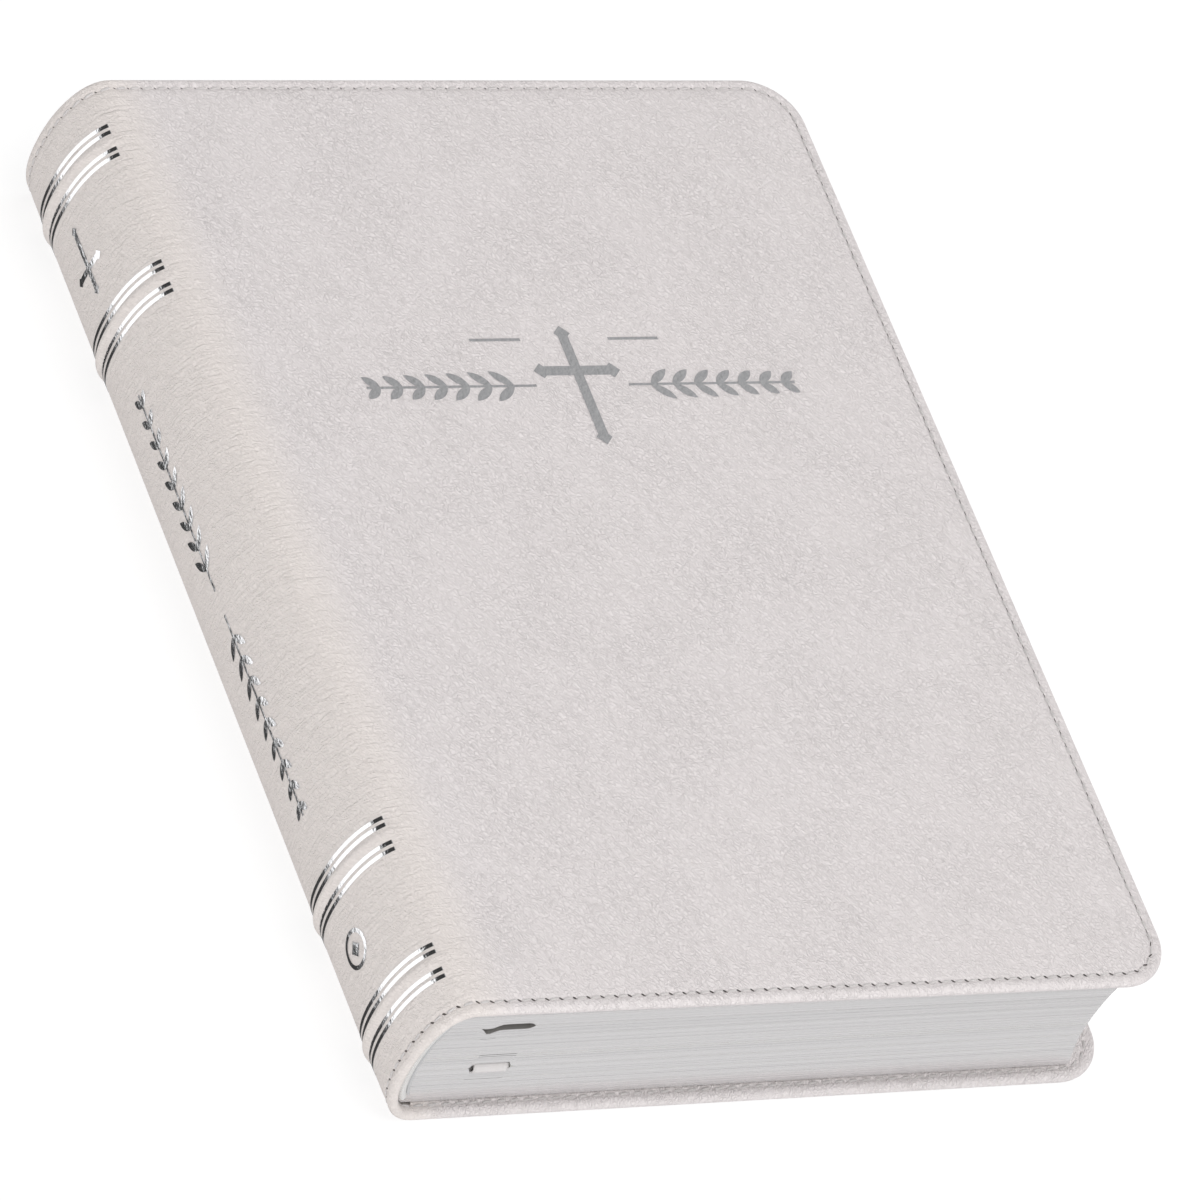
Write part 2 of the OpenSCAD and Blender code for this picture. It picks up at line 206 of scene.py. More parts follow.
def curve_place(angle, y, inset=0.0, rise=0.0):
    x, z = spine_point(angle, inset, rise)
    return x, y, z


def spine_angle(along):
    """Angle on the curve at a distance along the leather from the back joint."""
    return float(np.interp(along, curve_lengths, fine_angles))


def band_rise(y):
    """Height of the raised bands above the spine at a given y."""
    rise = 0.0
    for middle in BAND_Y:
        distance = abs(y - middle) / BAND_HALF
        if distance < 1:
            rise += BAND_RISE * (0.5 + 0.5 * math.cos(math.pi * distance)) ** 0.8
    return rise


# ---- shader nodes


class Signal:
    """The output of a shader node; sums, products and comparisons make math nodes."""

    def __init__(self, tree, socket):
        self.tree = tree
        self.socket = socket

    def __add__(self, other):
        return self.tree.calculate("ADD", self, other)

    def __sub__(self, other):
        return self.tree.calculate("SUBTRACT", self, other)

    def __rsub__(self, other):
        return self.tree.calculate("SUBTRACT", other, self)

    def __mul__(self, other):
        return self.tree.calculate("MULTIPLY", self, other)

    def __lt__(self, other):
        return self.tree.calculate("LESS_THAN", self, other)

    def __abs__(self):
        return self.tree.calculate("ABSOLUTE", self)


class Tree:
    """The shader nodes of a material or a world; every input is a plain value or a signal."""

    def __init__(self, owner):
        owner.use_nodes = True
        self.nodes = owner.node_tree.nodes
        self.links = owner.node_tree.links

    def put(self, socket, value):
        if isinstance(value, Signal):
            self.links.new(value.socket, socket)
        elif socket.type == "RGBA":
            socket.default_value = (*value, 1)
        else:
            socket.default_value = value

    def fill(self, node, inputs):
        """Inputs of a node by name, with _ for a space."""
        for key, value in inputs.items():
            self.put(node.inputs[key.replace("_", " ")], value)

    def shade(self, **inputs):
        """Inputs of the material's own shader."""
        self.fill(self.nodes["Principled BSDF"], inputs)

    def add(self, kind, output, **inputs):
        """One output of a new node."""
        node = self.nodes.new(kind)
        self.fill(node, inputs)
        return Signal(self, node.outputs[output])

    def calculate(self, operation, *values, kind="ShaderNodeMath", output=0):
        node = self.nodes.new(kind)
        node.operation = operation
        for socket, value in zip(node.inputs, values):
            self.put(socket, value)
        return Signal(self, node.outputs[output])

    def vector_math(self, operation, *values, output=0):
        return self.calculate(operation, *values, kind="ShaderNodeVectorMath", output=output)

    def larger(self, a, b):
        return self.calculate("MAXIMUM", a, b)

    def scaled(self, vector, factors):
        """A vector multiplied component by component."""
        return self.vector_math("MULTIPLY", vector, factors)

    def components(self, vector):
        node = self.add("ShaderNodeSeparateXYZ", 0, Vector=vector).socket.node
        return [Signal(self, output) for output in node.outputs]

    def ramp(self, value, low, high, to_low=0.0, to_high=1.0):
        """A smooth rise while a value goes from low to high."""
        rise = self.add("ShaderNodeMapRange", "Result", Value=value, From_Min=low, From_Max=high,
                        To_Min=to_low, To_Max=to_high)
        rise.socket.node.interpolation_type = "SMOOTHSTEP"
        return rise

    def noise(self, vector, scale, detail=2.0, distortion=0.0, output="Fac"):
        return self.add("ShaderNodeTexNoise", output, Vector=vector, Scale=scale, Detail=detail,
                        Distortion=distortion)

    def wave(self, vector, scale, direction, distortion=0.0, detail=2.0):
        bands = self.add("ShaderNodeTexWave", "Fac", Vector=vector, Scale=scale, Distortion=distortion,
                         Detail=detail)
        bands.socket.node.bands_direction = direction
        return bands

    def mix(self, factor, a, b):
        """A mix of two colours."""
        node = self.nodes.new("ShaderNodeMix")
        node.data_type = "RGBA"
        for index, value in ((0, factor), (6, a), (7, b)):
            self.put(node.inputs[index], value)
        return Signal(self, node.outputs[2])

    def bump(self, height, depth, strength=1.0):
        """Relief of the shaded surface, its depth in millimetres."""
        self.shade(Normal=self.add("ShaderNodeBump", "Normal", Height=height, Strength=strength,
                                   Distance=depth * MM))

    def surface(self):
        """The surface's own coordinates in millimetres, kept while the piece bends."""
        attribute = self.add("ShaderNodeAttribute", "Vector")
        attribute.socket.node.attribute_name = "surface"
        return attribute

    def object_place(self):
        """Object coordinates in millimetres."""
        return self.scaled(self.add("ShaderNodeTexCoord", "Object"), (1 / MM,) * 3)


# ---- materials

GRAIN_ANGLE = -56.7
# painted warm light: colour factors that tint the leather over the spine's curve as if a warmer light fell
# there
SPINE_WARM_LIGHT_PAINT = (1.0, 0.985, 0.95)
INK = (0.28, 0.28, 0.3)


def new_material(name):
    material = bpy.data.materials.new(name)
    return material, Tree(material)


def darker(colour, share):
    return tuple(share * c for c in colour)


def spine_share(tree, vector):
    """1 over the curve of the spine, 0 on the flat covers."""
    half = SPINE_LENGTH / 2
    away = abs(tree.components(vector)[0] - (JOINT_X - half))
    return tree.ramp(away, half - 2, half + 10, 1.0, 0.0)


def leather_height(tree, vector, bent):
    """Drawn-out grain with fine creases, which run round the spine where the leather is bent."""
    warp = tree.noise(vector, 0.45, 1.0, output="Color")
    shifted = tree.vector_math("MULTIPLY_ADD", warp, (1.3, 1.3, 1.3), vector)
    drawn = tree.add("ShaderNodeVectorRotate", "Vector", Vector=shifted, Angle=math.radians(GRAIN_ANGLE))
    drawn.socket.node.rotation_type = "Z_AXIS"
    cells = tree.add("ShaderNodeTexVoronoi", "Distance", Vector=tree.scaled(drawn, (0.75, 1.5, 1.0)),
                     Scale=1.0)
    cells.socket.node.feature = "DISTANCE_TO_EDGE"
    pebbles = tree.ramp(cells, 0.0, 0.28)
    lines = tree.noise(tree.scaled(drawn, (0.30, 2.1, 0.5)), 1.0, 3.0, 0.5)
    wrinkles = tree.noise(tree.scaled(shifted, (0.16, 1.5, 0.3)), 1.0, 3.0, 0.5)
    pores = tree.noise(vector, 3.2, 3.0)
    depth = tree.ramp(tree.noise(vector, 0.05), 0.35, 0.65, 0.75, 1.0)
    flat = pebbles * depth + lines * 1.3
    round_spine = wrinkles * 2.6 + pebbles * 0.5
    return round_spine * bent + flat * (1.0 - bent) + pores * 0.45, pebbles, lines


def leather_material(name, light, dark, grain):
    """Grained leather with painted warm light over the spine; grain is the depth of its relief."""
    material, tree = new_material(name)
    vector = tree.surface()
    bent = spine_share(tree, vector)
    height, pebbles, lines = leather_height(tree, vector, bent)
    tint = tree.ramp(tree.noise(vector, 0.03, 3.0), 0.3, 0.7, 0.985, 1.0)
    # the grain's tone, lighter on pebbles and lines and darker in the creases: partly the leather's own grain,
    # partly painted highlight on the ridges in place of a sheen's sparkle and painted shade in the creases
    shade = (pebbles * 0.5 + tree.ramp(lines, 0.42, 0.72, 0.25, 0.75)) * tint
    # painted warm light over the spine's curve
    warm_lit = tuple(c * w for c, w in zip(light, SPINE_WARM_LIGHT_PAINT))
    colour = tree.mix(bent, tree.mix(shade, dark, light), tree.mix(shade, darker(warm_lit, 0.9), warm_lit))
    tree.shade(Base_Color=colour, Roughness=tree.ramp(tree.noise(vector, 0.8), 0.3, 0.7, 0.38, 0.5),
               Specular_IOR_Level=0.5)
    tree.bump(height, grain)
    return material


def foil_material(name):
    """Hot-stamped silver that follows a little of the leather's grain."""
    material, tree = new_material(name)
    vector = tree.object_place()
    colour = tree.mix(tree.noise(vector, 1.4, 3.0), (0.80, 0.80, 0.82), (0.93, 0.93, 0.94))
    tree.shade(Base_Color=colour, Roughness=tree.ramp(tree.noise(vector, 2.5), 0.35, 0.7, 0.06, 0.16),
               Metallic=1.0)
    tree.bump(tree.noise(vector, 0.9, 1.0) + tree.noise(vector, 3.2) * 0.25, 0.065)
    return material


def gilt_material(name):
    """Silvered page edges: metal over hundreds of thin sheets."""
    material, tree = new_material(name)
    vector = tree.surface()
    sheets = tree.noise(tree.scaled(vector, (0.006, 0.006, 9.0)), 1.0, 4.0)
    bundles = tree.noise(tree.scaled(vector, (0.004, 0.004, 1.3)), 1.0)
    tone = tree.ramp(sheets * 0.6 + bundles * 0.4, 0.35, 0.65)
    tree.shade(Base_Color=tree.mix(tone, (0.80, 0.79, 0.795), (0.88, 0.865, 0.87)),
               Roughness=tree.ramp(sheets, 0.3, 0.7, 0.16, 0.28), Metallic=0.75)
    tree.bump(sheets, 0.03, 0.5)
    return material


def page_rules(tree, vector):
    """The page's frame and the rule between its two columns, as 0 to 1."""
    left, right = JOINT_X + END_MARGIN, PAGE_FORE_X - FORE_MARGIN
    half_x, half_y = (right - left) / 2, PAGE_HALF_H - END_MARGIN
    x, y, _ = tree.components(vector)
    across = abs(x - (left + right) / 2)
    along = abs(y)
    uprights = tree.larger(abs(across - (half_x - 0.3)) < 0.2, across < 0.15) * (along < half_y)
    level = (abs(along - (half_y - 0.3)) < 0.2) * (across < half_x)
    return tree.larger(uprights, level) * 0.6


def paper_material(name, colour, ruled):
    """Thin printed-book paper; ruled adds the double-column frame of the page."""
    material, tree = new_material(name)
    vector = tree.surface() if ruled else tree.object_place()
    fibres = tree.noise(vector, 1.6, 4.0)
    shade = tree.mix(tree.ramp(fibres, 0.3, 0.7), darker(colour, 0.93), colour)
    if ruled:
        shade = tree.mix(page_rules(tree, vector), shade, INK)
    tree.shade(Base_Color=shade, Roughness=0.75, Specular_IOR_Level=0.3)
    tree.bump(fibres, 0.015)
    return material


def fibre_material(name, dark, light, scale, detail, roughness, depth):
    """Board or heavy paper, with a pattern that stays with the sheet."""
    material, tree = new_material(name)
    fibres = tree.noise(tree.surface(), scale, detail)
    tree.shade(Base_Color=tree.mix(fibres, dark, light), Roughness=roughness)
    tree.bump(fibres, depth)
    return material


def thread_material(name, colour, lay, roughness=0.5):
    """Twisted thread; lay is how many plies cross a millimetre."""
    material, tree = new_material(name)
    plies = tree.wave(tree.surface(), lay, "DIAGONAL", 1.2, 1.0)
    tree.shade(Base_Color=tree.mix(plies, darker(colour, 0.8), colour), Roughness=roughness,
               Sheen_Weight=0.2)
    tree.bump(plies, 0.06)
    return material


def satin_material(name, colour):
    """Satin ribbon: long floats along the ribbon and a fine ribbed weave."""
    material, tree = new_material(name)
    vector = tree.surface()
    floats = tree.noise(tree.scaled(vector, (9.0, 0.5, 0.5)), 1.0)
    tree.shade(Base_Color=tree.mix(floats, darker(colour, 0.85), colour), Roughness=0.3,
               Sheen_Weight=0.4)
    tree.bump(floats + tree.wave(vector, 1.6, "Y") * 0.3, 0.04)
    return material


def cloth_material(name, colour, threads):
    """Open plain weave, as in mull."""
    material, tree = new_material(name)
    vector = tree.surface()
    weave = tree.larger(tree.wave(vector, threads, "Y", 0.4), tree.wave(vector, threads, "Z", 0.4))
    tree.shade(Base_Color=tree.mix(weave, darker(colour, 0.7), colour), Roughness=0.85)
    tree.bump(weave, 0.1)
    return material


LEATHER = leather_material("white_leather", (0.82, 0.772, 0.77), (0.71, 0.664, 0.662), 0.15)
# painted shade: the dark inside the needle holes, on small lens-shaped pieces
HOLE_SHADE = leather_material("painted_hole_shade", (0.10, 0.085, 0.08), (0.06, 0.05, 0.048), 0.02)
FOIL = foil_material("silver_foil")
GILT = gilt_material("silver_gilt")
PAPER = paper_material("bible_paper", (0.85, 0.84, 0.815), True)
# painted shade: dark paper on the faces inside the openings where the pages part round a ribbon
GAP_SHADE_PAPER = paper_material("painted_gap_shade", (0.26, 0.25, 0.24), False)
FLYLEAF = paper_material("endpaper", (0.79, 0.78, 0.765), False)
ENDPAPER = fibre_material("endpaper_sheet", (0.74, 0.73, 0.715), (0.80, 0.79, 0.775), 1.6, 4.0, 0.7, 0.02)
BOARD = fibre_material("cover_board", (0.315, 0.255, 0.18), (0.42, 0.34, 0.24), 0.9, 5.0, 0.9, 0.05)
THREAD = thread_material("stitching_thread", (0.80, 0.765, 0.755), 2.5)
SEWING = thread_material("sewing_thread", (0.82, 0.81, 0.78), 2.0)
SILK = thread_material("endband_silk", (0.80, 0.79, 0.78), 1.2, 0.4)
CORD = thread_material("endband_cord", (0.60, 0.60, 0.61), 1.5)
SATIN = satin_material("satin_ribbon", (0.74, 0.71, 0.705))
MULL = cloth_material("mull_cloth", (0.75, 0.72, 0.64), 1.3)


# ---- maps from flat leather (along, y, depth from the outer face) to the book


def back_map(x, y, depth):
    """The back cover lies flat, so this is its place and its pattern."""
    return x, y, depth


def front_map(x, y, depth):
    """The front cover lies on the pages, slopes down to the fore edge and faces up."""
    across = x - JOINT_X
    cos_t, sin_t = math.cos(TAPER), math.sin(TAPER)
    return (JOINT_X + across * cos_t - depth * sin_t, y, BOOK_T - across * sin_t - depth * cos_t)


def spine_map(along, y, depth):
    """along is the distance along the leather from the back joint."""
    return curve_place(spine_angle(along), y, depth, band_rise(y) if depth < LEATHER_T / 2 else 0.0)


def front_pattern(x, y, depth):
    return 2 * JOINT_X - SPINE_LENGTH - x, y, depth


def spine_pattern(along, y, depth):
    return JOINT_X - along, y, depth


# ---- section of the turned edge


def thread_dip(inset):
    """How far the thread's tension draws a face in, at an inset from the edge."""
    groove = GROOVE_DEPTH * math.exp(-(((inset - STITCH_INSET) / 0.55) ** 2))
    return groove + 0.06 * math.exp(-(((inset - 3.4) / 1.4) ** 2))


def turned_edge():
    """(inset, depth) from the outer face round the rim to the inner face."""
    insets = (10, 8, 6.5, 5.4, 4.6, 4.0, 3.5, 3.2, 2.95, 2.75, 2.6, 2.45, 2.25, 2.0, 1.75, 1.5)
    outer = [(d, thread_dip(d)) for d in insets]
    rim = []
    for turn in np.radians(np.linspace(-90, 90, 13)):
        rim.append((RIM_W - RIM_W * math.cos(turn), COVER_T / 2 + COVER_T / 2 * math.sin(turn)))
    inner = [(d, COVER_T - thread_dip(d)) for d, _ in reversed(outer)]
    return outer + rim + inner


# ---- flat slabs with two round corners, open or closed at the joint


class Slab:
    """Grid in the middle of each face, joined by rings that run round the three edges.

    A joined slab goes on past the joint, so it is open there and has finer columns.
    """

    def __init__(self, start_x, joined, sections, relief=None):
        self.start_x = start_x
        self.corner = np.linspace(0, math.pi / 2, 17)
        self.columns = cover_columns(start_x, joined)
        self.rows = steps(-1, 1, 0.025)
        half_corner = (len(self.corner) - 1) // 2
        self.last_column = len(self.columns) - 1 + half_corner
        self.last_row = len(self.rows) - 1 + 2 * half_corner
        self.points = []
        self.faces = []
        rings = [self.add_ring(d, depth) for d, depth in sections]
        for a, b in zip(rings, rings[1:]):
            self.faces += [(a[i], a[i + 1], b[i + 1], b[i]) for i in range(len(a) - 1)]
        outer_left = self.add_grid(rings[0], relief)
        inner_left = self.add_grid(rings[-1], None)
        if not joined:
            tail = [ring[0] for ring in rings[1:-1]]
            head = [ring[-1] for ring in rings[1:-1]]
            self.faces.append(outer_left + head + inner_left[::-1] + tail[::-1])

    def outline(self, inset):
        """Points round the tail, fore and head edges at an inset, from the joint and back to it."""
        radius = max(CORNER_R - inset, 1.0)
        cx = FORE_X - inset - radius
        cy = HALF_H - inset - radius
        xs = self.start_x + (cx - self.start_x) * self.columns
        tail = [(x, -cy - radius) for x in xs]
        fore_tail = [(cx + radius * math.sin(t), -cy - radius * math.cos(t)) for t in self.corner[1:]]
        fore = [(cx + radius, cy * r) for r in self.rows[1:]]
        fore_head = [(cx + radius * math.cos(t), cy + radius * math.sin(t)) for t in self.corner[1:]]
        head = [(x, cy + radius) for x in xs[::-1][1:]]
        return tail + fore_tail + fore + fore_head + head

    def add_ring(self, inset, depth):
        first = len(self.points)
        outline = self.outline(inset)
        self.points += [(x, y, depth) for x, y in outline]
        return list(range(first, first + len(outline)))

    def add_grid(self, ring, relief):
        """Fills a ring with a grid and returns the grid's points along the joint."""
        index = {}
        for i in range(self.last_column + 1):
            for j in range(self.last_row + 1):
                if j == 0:
                    index[i, j] = ring[i]
                elif i == self.last_column:
                    index[i, j] = ring[i + j]
                elif j == self.last_row:
                    index[i, j] = ring[-1 - i]
                else:
                    x, _, depth = self.points[ring[i]]
                    y = self.points[ring[self.last_column + j]][1]
                    index[i, j] = len(self.points)
                    self.points.append((x, y, depth + (relief(x, y) if relief else 0.0)))
        for i in range(self.last_column):
            for j in range(self.last_row):
                self.faces.append((index[i, j], index[i + 1, j], index[i + 1, j + 1], index[i, j + 1]))
        return [index[0, j] for j in range(self.last_row + 1)]

    def piece(self, name, place, pattern, material, slot):
        points = [place(*p) for p in self.points]
        return make_piece(name, points, self.faces, [material], [pattern(*p) for p in self.points])


def cover_columns(start_x, fine):
    """Fractions from the joint to the corner, finer where the leather bends."""
    end = FORE_X - CORNER_R
    if fine:
        bent_end = start_x + HINGE_W + 2
        xs = np.concatenate([steps(start_x, bent_end, 0.4), steps(bent_end, end, 2.2)[1:]])
    else:
        xs = steps(start_x, end, 6)
    return (xs - start_x) / (end - start_x)


def leather_relief(x, y):
    """Slow waves of the leather over its board, nothing near the joint and the edges."""
    fade = smooth_step((x - JOINT_X - 12) / 25) * smooth_step((FORE_X - 12 - x) / 15)
    fade *= smooth_step((HALF_H - 12 - abs(y)) / 15)
    wave = math.sin(x / 9.0 + 1.3 * math.sin(y / 23.0)) * math.sin(y / 13.0 + 0.8 * math.sin(x / 17.0))
    return 0.05 * float(fade) * (1 + wave) * 0.5


def cover_leather(name, place, pattern):
    """Leather turned in round three edges, with a pocket for the board."""
    pocket = [(TURN_IN_W, COVER_T), (TURN_IN_W, LEATHER_T + BOARD_T), (RIM_W + 0.2, LEATHER_T + BOARD_T),
              (RIM_W + 0.2, LEATHER_T), (TURN_IN_W, LEATHER_T)]
    slab = Slab(JOINT_X, True, turned_edge() + pocket, leather_relief)
    return slab.piece(name, place, pattern, LEATHER, "leather_cover")


def cover_board(name, place, pattern):
    inset = RIM_W + 0.4
    sections = [(inset, LEATHER_T + 0.04), (inset, LEATHER_T + BOARD_T - 0.04)]
    return Slab(BOARD_X, False, sections).piece(name, place, pattern, BOARD, "cover_board")


def pastedown(name, place, pattern):
    """Endpaper in the window between the turned-in edges, which it laps over."""
    window = TURN_IN_W + 0.1
    lip = 8.0
    sections = [(window, LEATHER_T + BOARD_T + 0.02), (window, COVER_T + 0.02), (lip, COVER_T + 0.02),
                (lip + 0.1, COVER_T + 0.19), (lip + 0.3, COVER_T + 0.2)]
    return Slab(BOARD_X, False, sections).piece(name, place, pattern, ENDPAPER, "endpaper")


# ---- the leather over the spine


def spine_section():
    """Closed section along Y: (y, depth) over the outer face, round the head and back inside."""
    edge = turned_edge()
    half = len(edge) // 2
    outer_edge = edge[:half + 1]
    inner_edge = [p for p in edge[half + 1:] if p[0] < 2.9]
    middles = list(steps(-HALF_H + 11, HALF_H - 11, 2.5))
    for band in BAND_Y:
        middles += list(steps(band - BAND_HALF - 0.4, band + BAND_HALF + 0.4, 0.3))
    middles = sorted(m for m in middles if abs(m) < HALF_H - 10.4)
    thinned = [middles[0]]
    for m in middles[1:]:
        if m - thinned[-1] > 0.12:
            thinned.append(m)
    tail_out = [(-HALF_H + d, depth) for d, depth in outer_edge[::-1]]
    head_out = [(HALF_H - d, depth) for d, depth in outer_edge]
    lining = [(3.0, 1.62), (TURN_IN_W, 1.62), (TURN_IN_W + 0.1, LEATHER_T + 0.02)]
    head_in = [(HALF_H - d, depth) for d, depth in inner_edge + lining]
    tail_in = [(-HALF_H + d, depth) for d, depth in (inner_edge + lining)[::-1]]
    return tail_out + [(y, 0.0) for y in thinned] + head_out + head_in + tail_in


SECTION = spine_section()


def spine_leather(name, start, end):
    """Leather over the spine between two distances from the back joint, finest at its ends."""
    close = [0.1, 0.3, 0.6]
    alongs = sorted([start, end] + [start + c for c in close] + [end - c for c in close]
                    + list(steps(start + 1.0, end - 1.0, 0.45)))
    flat = [(along, y, depth) for along in alongs for y, depth in SECTION]
    points = [spine_map(*p) for p in flat]
    faces = grid_faces(len(alongs), len(SECTION), closed=True)
    surface = [spine_pattern(*p) for p in flat]
    return make_piece(name, points, faces, [LEATHER], surface)


# ---- saddle stitches and needle holes

THREAD_R = 0.31
STITCH_HALF = 1.22
STITCH_SLANT = 0.13
SIDES = 8
HOLE_POINTS = 10


def slanted(direction, angle):
    """A flat direction turned by an angle, and the one at right angles to it."""
    side = np.array([-direction[1], direction[0]])
    along = direction * math.cos(angle) + side * math.sin(angle)
    return along, np.array([-along[1], along[0]])


def stitch_shape(middle, direction, depth, sign):
    """Points of one stitch in flat leather: a bent tube whose ends dive into the holes."""
    run, across = slanted(direction, STITCH_SLANT)
    points = []
    for t in (-1.0, -0.9, -0.7, -0.35, 0.0, 0.35, 0.7, 0.9, 1.0):
        dive = 0.42 * abs(t) ** 5
        radius = THREAD_R * (1 - 0.35 * abs(t) ** 3)
        centre = middle + run * STITCH_HALF * t
        for k in range(SIDES):
            turn = 2 * math.pi * k / SIDES
            lateral = centre + across * radius * math.cos(turn)
            level = depth + sign * (dive - radius * math.sin(turn))
            points.append((lateral[0], lateral[1], level))
    return points


def hole_shape(middle, direction, depth, size):
    """A slit of painted shade for a needle hole, as a shallow closed lens: slanted, but along the fore edge
    straight, long and thin, as the painted shadow line of the thread.
    """
    across_book = abs(direction[0])
    half_length, half_width = 0.80 - 0.18 * across_book, 0.07 + 0.13 * across_book
    long_axis, short_axis = slanted(direction, -0.75 * across_book)
    points = []
    for k in range(HOLE_POINTS):
        turn = 2 * math.pi * k / HOLE_POINTS
        offset = long_axis * half_length * math.cos(turn) + short_axis * half_width * math.sin(turn)
        points.append((*(middle + offset * size), depth))
    return points + [(*middle, depth - 0.03), (*middle, depth + 0.1)]


def sew(name, path, place, pattern, end_holes=(True, True)):
    """Stitches on both faces and pieces of painted hole shade outside, evenly spaced along a path in flat
    leather.
    """
    path = np.array(path, float)
    lengths = distances(path)
    count = max(1, int(round(lengths[-1] / STITCH_PITCH)))
    thread_points, thread_faces, hole_points, hole_faces = [], [], [], []

    def point_at(distance):
        return np.array([np.interp(distance, lengths, column) for column in path.T])

    def at(distance):
        direction = point_at(min(distance + 0.4, lengths[-1])) - point_at(max(distance - 0.4, 0.0))
        return point_at(distance), direction / np.linalg.norm(direction)

    for face_depth, sign in ((GROOVE_DEPTH, 1), (COVER_T - GROOVE_DEPTH, -1)):
        for i in range(count):
            middle, direction = at(lengths[-1] * (i + 0.5) / count)
            shape = stitch_shape(middle, direction, face_depth - sign * 0.03, sign)
            thread_faces += tube_faces(len(shape) // SIDES, SIDES, len(thread_points))
            thread_points += shape
    for i in range(1 - end_holes[0], count + end_holes[1]):
        middle, direction = at(lengths[-1] * i / count)
        # near the head the painted hole shade is half as large, as the thread covers the holes there
        size = 1.0 - 0.5 * float(smooth_step((middle[1] - HALF_H + 14) / 8))
        base = len(hole_points)
        hole_points += hole_shape(middle, direction, GROOVE_DEPTH - 0.045, size)
        for k in range(HOLE_POINTS):
            here, after = base + k, base + (k + 1) % HOLE_POINTS
            hole_faces += [(here, after, base + HOLE_POINTS), (after, here, base + HOLE_POINTS + 1)]
    return [make_piece(f"{name}_{suffix}", [place(*p) for p in points], faces, [material],
                       [pattern(*p) for p in points])
            for suffix, points, faces, material, slot in (
                ("thread", thread_points, thread_faces, THREAD, "stitching_thread"),
                ("hole_shade_marks", hole_points, hole_faces, HOLE_SHADE, "leather_cover"))]


# ---- the text block

# x of the back of the pages at their middle, where the sections are sewn
BACK_X = JOINT_X - SPINE_BULGE + BACK_INSET


def bend_pages(piece):
    """Bakes the piece's placement into its mesh."""
    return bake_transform(piece)


def back_of_pages(z):
    """x of the rounded back of the pages at a height."""
    share = min(abs(z - MID_Z) / (MID_Z - BACK_INSET), 0.9999)
    return JOINT_X - (SPINE_BULGE - BACK_INSET) * (1 - share ** (2 / CURVE)) ** (CURVE / 2)


def fore_of_pages(z):
    """x of the hollow fore edge at a height."""
    sag_half = MID_Z - PAGE_Z
    radius = (sag_half ** 2 + FORE_HOLLOW ** 2) / (2 * FORE_HOLLOW)
    centre = PAGE_FORE_X - FORE_HOLLOW + radius
    return min(centre - math.sqrt(max(radius ** 2 - (z - MID_Z) ** 2, 0.0)), PAGE_FORE_X)


ribbon_lower_low, ribbon_lower_high = box_mm("ribbon_lower")
ribbon_upper_low, ribbon_upper_high = box_mm("ribbon_upper")
# how far in parted pages close again, and the height over which their opening fades
PARTED_DEPTH = 11.0
PARTED_FADE = 2.2


def parted(x, z):
    """Height of a page edge at the tail where the pages part round a ribbon."""
    shift = 0.0
    for surface, left, right, opening, left_run, right_run, dip in PARTINGS:
        over = smooth_step((x - left + left_run) / left_run) * (1 - smooth_step((x - right) / right_run))
        above = z - surface(x) + 0.01
        lean = dip * math.exp(-((x - left) / 1.6) ** 2)
        opened = math.copysign(1.0, above) * float(over) * opening / 2
        shift += (opened - lean) * math.exp(-abs(above) / PARTED_FADE)
    return z + shift


# share of a page's width, beside the spine, that is drawn finely
FINE_SHARE = 0.30


def page_stack(name, low, high, layers, seed, inset=0.0, slot="bible_paper"):
    """Pages between two surfaces: low(x) and high(x) give their heights."""
    rng = np.random.default_rng(seed)
    offsets = rng.uniform(0.0, 0.05, layers)
    deeper = rng.uniform(0, 1, layers) < 0.08
    offsets[deeper] += 0.05
    fractions = np.linspace(0, 1, layers + 1)
    shares = np.concatenate([np.linspace(0, FINE_SHARE, 56), np.linspace(FINE_SHARE, 1.0, 26)[1:]])
    points, rows = [], []

    def level(x, fraction):
        return low(x) + (high(x) - low(x)) * fraction

    for layer in range(layers):
        for fraction in (fractions[layer], fractions[layer + 1]):
            left = back_of_pages(level(JOINT_X, fraction))
            right = fore_of_pages(level(FORE_X, fraction)) - offsets[layer] - inset
            half = PAGE_HALF_H - offsets[layer] - inset
            xs = left + (right - left) * shares
            zs = [level(x, fraction) for x in xs]
            first = len(points)
            points += [(x, -half, parted(x, z)) for x, z in zip(xs, zs)]
            points += [(x, half, z) for x, z in zip(xs[::-1], zs[::-1])]
            rows.append(first)
    ring = 2 * len(shares)
    faces, kinds = [], []
    for a, b in zip(rows, rows[1:]):
        for i in range(ring):
            j = (i + 1) % ring
            faces.append((a + i, a + j, b + j, b + i))
            kinds.append(0 if i == ring - 1 else 1)
    for start, height in ((rows[0], low), (rows[-1], high)):
        # the opening between parted pages closes a little way in
        inner = len(points)
        points += [(points[start + i][0], -PAGE_HALF_H + PARTED_DEPTH, height(points[start + i][0]))
                   for i in range(len(shares))]
        for i in range(len(shares) - 1):
            faces.append((start + i, start + i + 1, inner + i + 1, inner + i))
            faces.append((inner + i, inner + i + 1, start + ring - 2 - i, start + ring - 1 - i))
            # faces of an opening take the painted shade of the gap
            opened = abs(points[start + i][2] - height(points[start + i][0])) > 0.2
            kinds += [2 if opened else 0, 0]
    paper = PAPER if slot == "bible_paper" else FLYLEAF
    piece = make_piece(name, points, faces, [paper, GILT, GAP_SHADE_PAPER], None, kinds, smooth=False)
    return bend_pages(piece)


HALF_SPLIT = MID_Z - box_mm("lower_sections_4")[1].z
LEAF_SPACE = HALF_SPLIT / 3


def slope_z(x):
    """How much lower the front cover is over a given x."""
    return math.tan(TAPER) * max(0.0, x - JOINT_X)


def lower_height(fraction):
    return lambda x: PAGE_Z + (MID_Z - HALF_SPLIT - PAGE_Z) * fraction


